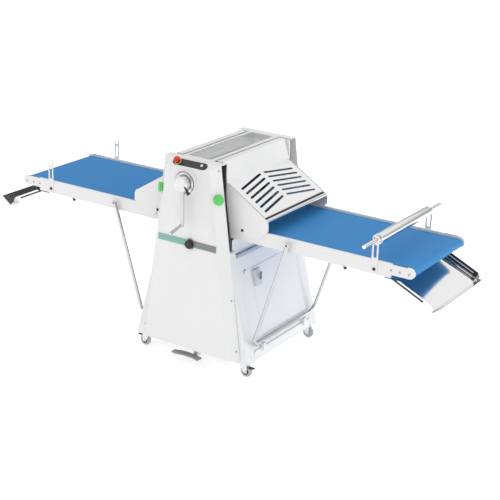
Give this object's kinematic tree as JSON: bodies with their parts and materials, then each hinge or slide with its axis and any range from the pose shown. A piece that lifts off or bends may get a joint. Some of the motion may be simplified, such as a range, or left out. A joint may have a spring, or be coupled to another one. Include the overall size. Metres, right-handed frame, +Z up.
{
  "type": "dough sheeter",
  "caption": "Floor-standing bakery dough sheeter on casters: belt tables each side of sheeting rollers, slotted guards, gap lever, folding struts, catch trays and a rolling pin.",
  "frame": {"origin": "centre of the footprint of the whole machine, on the floor", "axes": "+X along the tables, +Y across the belts to the side without the controls, +Z up"},
  "size_m": [3.126, 1.0702, 1.2785],
  "materials": {
    "white_paint": "smooth satin powder coat",
    "stainless": "fine brushed stainless",
    "roller_chrome": "ground and polished roller face",
    "dark_steel": "black coated steel",
    "belt_blue": "matt woven-backed food belt",
    "black_plastic": "fine texture",
    "green_plastic": "moulded gloss",
    "red_plastic": "moulded gloss",
    "white_plastic": "moulded gloss",
    "teal_trim": "two-colour satin trim strip",
    "pedal_grey": "satin coat, worn at the tread",
    "wheel_grey": "grey non-marking tread",
    "latch_grey": "fine texture",
    "motor_grey": "cast housing, satin paint"
  },
  "bodies": {
    "stand": {"near_leg_frame": "white_paint", "far_leg_frame": "white_paint", "base_frame": "white_paint", "cabinet": "white_paint", "drive_motor": "motor_grey", "near_head_cover": "white_paint", "far_head_cover": "white_paint", "near_bearing_plate": "dark_steel", "far_bearing_plate": "white_paint", "top_deck": "white_paint", "control_panel": "black_plastic", "trim_band": "teal_trim"},
    "flour_tray": {"top_flour_tray": "stainless"},
    "roller_carriage": {"roller_yoke": "dark_steel", "roller_scraper": "stainless"},
    "upper_roller": {"upper_roller": "roller_chrome"},
    "lower_roller": {"lower_roller": "roller_chrome"},
    "gap_lever": {"gap_lever": "stainless"},
    "emergency_stop": {"emergency_stop_button": "red_plastic"},
    "start_button": {"start_button": "white_plastic"},
    "speed_knob": {"speed_knob": "black_plastic"},
    "right_run_button": {"right_run_button": "green_plastic"},
    "left_run_button": {"left_run_button": "green_plastic"},
    "cabinet_door": {"cabinet_door": "white_paint"},
    "door_latch": {"door_latch": "latch_grey"},
    "foot_pedal": {"foot_pedal": "pedal_grey"},
    "right_table": {"right_near_rail": "white_paint", "right_far_rail": "white_paint", "right_bed": "stainless", "right_belt": "belt_blue", "right_catch_tray": "stainless", "right_near_pin_fork": "white_paint", "right_far_pin_fork": "white_paint"},
    "right_drive_roller": {"right_drive_roller": "stainless"},
    "right_end_roller": {"right_end_roller": "stainless"},
    "right_strut": {"right_strut": "stainless"},
    "right_guard": {"right_guard": "white_paint", "right_guard_rod": "stainless"},
    "left_table": {"left_near_rail": "white_paint", "left_far_rail": "white_paint", "left_bed": "stainless", "left_belt": "belt_blue", "left_catch_tray": "stainless", "left_near_pin_fork": "white_paint", "left_far_pin_fork": "white_paint"},
    "left_drive_roller": {"left_drive_roller": "stainless"},
    "left_end_roller": {"left_end_roller": "stainless"},
    "left_strut": {"left_strut": "stainless"},
    "left_guard": {"left_guard": "white_paint", "left_guard_rod": "stainless"},
    "rolling_pin": {"rolling_pin_axle": "stainless"},
    "rolling_pin_sleeve": {"rolling_pin_sleeve": "stainless"},
    "near_right_caster_fork": {"near_right_caster_fork": "stainless"},
    "near_right_caster_wheel": {"near_right_caster_wheel": "wheel_grey"},
    "near_left_caster_fork": {"near_left_caster_fork": "stainless"},
    "near_left_caster_wheel": {"near_left_caster_wheel": "wheel_grey"},
    "far_right_caster_fork": {"far_right_caster_fork": "stainless"},
    "far_right_caster_wheel": {"far_right_caster_wheel": "wheel_grey"},
    "far_left_caster_fork": {"far_left_caster_fork": "stainless"},
    "far_left_caster_wheel": {"far_left_caster_wheel": "wheel_grey"}
  },
  "joints": [
    {"name": "flour_tray_lift", "type": "slide", "parent": "stand", "child": "flour_tray", "axis": [0, 0, 1], "range_m": [0, 0.08]},
    {"name": "roller_height", "type": "slide", "parent": "stand", "child": "roller_carriage", "axis": [0, 0, 1], "range_m": [-0.01, 0.023]},
    {"name": "gap_lever_turn", "type": "hinge", "parent": "stand", "child": "gap_lever", "pos_m": [0, -0.42123, 1.148], "axis": [0, 1, 0], "range_deg": [-55, 126]},
    {"name": "lower_roller_spin", "type": "hinge", "parent": "stand", "child": "lower_roller", "pos_m": [0, 0.07507, 0.86], "axis": [0, 1, 0], "continuous": true},
    {"name": "upper_roller_spin", "type": "hinge", "parent": "roller_carriage", "child": "upper_roller", "pos_m": [0, 0.07507, 0.932], "axis": [0, 1, 0], "continuous": true},
    {"name": "emergency_stop_press", "type": "slide", "parent": "stand", "child": "emergency_stop", "axis": [0, 0.6306, -0.7761], "range_m": [0, 0.006]},
    {"name": "start_button_press", "type": "slide", "parent": "stand", "child": "start_button", "axis": [0, 0.6306, -0.7761], "range_m": [0, 0.003], "stiffness_N_per_m": 400, "springref_m": -0.003},
    {"name": "speed_knob_turn", "type": "hinge", "parent": "stand", "child": "speed_knob", "pos_m": [0.025, -0.38493, 0.7785], "axis": [0, -1, 0], "range_deg": [-135, 135]},
    {"name": "cabinet_door_swing", "type": "hinge", "parent": "stand", "child": "cabinet_door", "pos_m": [0.33212, 0.37207, 0.406], "axis": [-0.2489, 0, 0.9685], "range_deg": [0, 90]},
    {"name": "door_latch_flip", "type": "hinge", "parent": "cabinet_door", "child": "door_latch", "pos_m": [0.29537, -0.11243, 0.549], "axis": [0.2489, 0, -0.9685], "range_deg": [0, 28], "stiffness_Nm_per_rad": 0.6, "springref_deg": -11.46},
    {"name": "foot_pedal_rock", "type": "hinge", "parent": "stand", "child": "foot_pedal", "pos_m": [0.034, -0.33493, 0.062], "axis": [0, 1, 0], "range_deg": [-6, 6], "stiffness_Nm_per_rad": 12},
    {"name": "right_table_fold", "type": "hinge", "parent": "stand", "child": "right_table", "pos_m": [0.0643, 0.07507, 0.8657], "axis": [0, -1, 0], "range_deg": [0, 50]},
    {"name": "right_guard_lift", "type": "hinge", "parent": "stand", "child": "right_guard", "pos_m": [0.13, 0.07507, 1.25], "axis": [0, -1, 0], "range_deg": [0, 100]},
    {"name": "right_strut_swing", "type": "hinge", "parent": "right_table", "child": "right_strut", "pos_m": [0.617, 0.07507, 0.873], "axis": [0, -1, 0], "range_deg": [0, 25]},
    {"name": "right_drive_roller_spin", "type": "hinge", "parent": "right_table", "child": "right_drive_roller", "pos_m": [0.0643, 0.07507, 0.8657], "axis": [0, 1, 0], "continuous": true},
    {"name": "right_end_roller_spin", "type": "hinge", "parent": "right_table", "child": "right_end_roller", "pos_m": [1.356, 0.07507, 0.8657], "axis": [0, 1, 0], "continuous": true},
    {"name": "right_run_button_press", "type": "slide", "parent": "stand", "child": "right_run_button", "axis": [-0.7037, 0.7037, -0.0978], "range_m": [0, 0.004], "stiffness_N_per_m": 500, "springref_m": -0.003},
    {"name": "left_table_fold", "type": "hinge", "parent": "stand", "child": "left_table", "pos_m": [-0.0643, 0.07507, 0.8657], "axis": [0, 1, 0], "range_deg": [0, 50]},
    {"name": "left_guard_lift", "type": "hinge", "parent": "stand", "child": "left_guard", "pos_m": [-0.13, 0.07507, 1.25], "axis": [0, 1, 0], "range_deg": [0, 100]},
    {"name": "left_strut_swing", "type": "hinge", "parent": "left_table", "child": "left_strut", "pos_m": [-0.617, 0.07507, 0.873], "axis": [0, 1, 0], "range_deg": [0, 25]},
    {"name": "left_drive_roller_spin", "type": "hinge", "parent": "left_table", "child": "left_drive_roller", "pos_m": [-0.0643, 0.07507, 0.8657], "axis": [0, 1, 0], "continuous": true},
    {"name": "left_end_roller_spin", "type": "hinge", "parent": "left_table", "child": "left_end_roller", "pos_m": [-1.356, 0.07507, 0.8657], "axis": [0, 1, 0], "continuous": true},
    {"name": "left_run_button_press", "type": "slide", "parent": "stand", "child": "left_run_button", "axis": [0.7037, 0.7037, -0.0978], "range_m": [0, 0.004], "stiffness_N_per_m": 500, "springref_m": -0.003},
    {"name": "rolling_pin_lift", "type": "slide", "parent": "right_table", "child": "rolling_pin", "axis": [0, 0, 1], "range_m": [0, 0.12]},
    {"name": "rolling_pin_spin", "type": "hinge", "parent": "rolling_pin", "child": "rolling_pin_sleeve", "pos_m": [1.15, 0.07507, 1.015], "axis": [0, 1, 0], "continuous": true},
    {"name": "near_right_caster_swivel", "type": "hinge", "parent": "stand", "child": "near_right_caster_fork", "pos_m": [0.35234, -0.27793, 0.06], "axis": [0, 0, 1], "continuous": true},
    {"name": "near_right_caster_roll", "type": "hinge", "parent": "near_right_caster_fork", "child": "near_right_caster_wheel", "pos_m": [0.37433, -0.27793, 0.035], "axis": [0, 1, 0], "continuous": true},
    {"name": "near_left_caster_swivel", "type": "hinge", "parent": "stand", "child": "near_left_caster_fork", "pos_m": [-0.35234, -0.27793, 0.06], "axis": [0, 0, 1], "continuous": true},
    {"name": "near_left_caster_roll", "type": "hinge", "parent": "near_left_caster_fork", "child": "near_left_caster_wheel", "pos_m": [-0.37433, -0.27793, 0.035], "axis": [0, 1, 0], "continuous": true},
    {"name": "far_right_caster_swivel", "type": "hinge", "parent": "stand", "child": "far_right_caster_fork", "pos_m": [0.35234, 0.42807, 0.06], "axis": [0, 0, 1], "continuous": true},
    {"name": "far_right_caster_roll", "type": "hinge", "parent": "far_right_caster_fork", "child": "far_right_caster_wheel", "pos_m": [0.37433, 0.42807, 0.035], "axis": [0, 1, 0], "continuous": true},
    {"name": "far_left_caster_swivel", "type": "hinge", "parent": "stand", "child": "far_left_caster_fork", "pos_m": [-0.35234, 0.42807, 0.06], "axis": [0, 0, 1], "continuous": true},
    {"name": "far_left_caster_roll", "type": "hinge", "parent": "far_left_caster_fork", "child": "far_left_caster_wheel", "pos_m": [-0.37433, 0.42807, 0.035], "axis": [0, 1, 0], "continuous": true}
  ],
  "couplings": [
    {"joint": "gap_lever_turn", "follows": "roller_height", "rad_per_m": 95.2},
    {"joint": "upper_roller_spin", "follows": "lower_roller_spin", "ratio": -1},
    {"joint": "right_guard_lift", "follows": "right_table_fold", "ratio": 2},
    {"joint": "right_strut_swing", "follows": "right_table_fold", "ratio": 0.5},
    {"joint": "right_drive_roller_spin", "follows": "lower_roller_spin", "ratio": 1.2346},
    {"joint": "right_end_roller_spin", "follows": "lower_roller_spin", "ratio": 1.2346},
    {"joint": "left_guard_lift", "follows": "left_table_fold", "ratio": 2},
    {"joint": "left_strut_swing", "follows": "left_table_fold", "ratio": 0.5},
    {"joint": "left_drive_roller_spin", "follows": "lower_roller_spin", "ratio": 1.2346},
    {"joint": "left_end_roller_spin", "follows": "lower_roller_spin", "ratio": 1.2346}
  ]
}
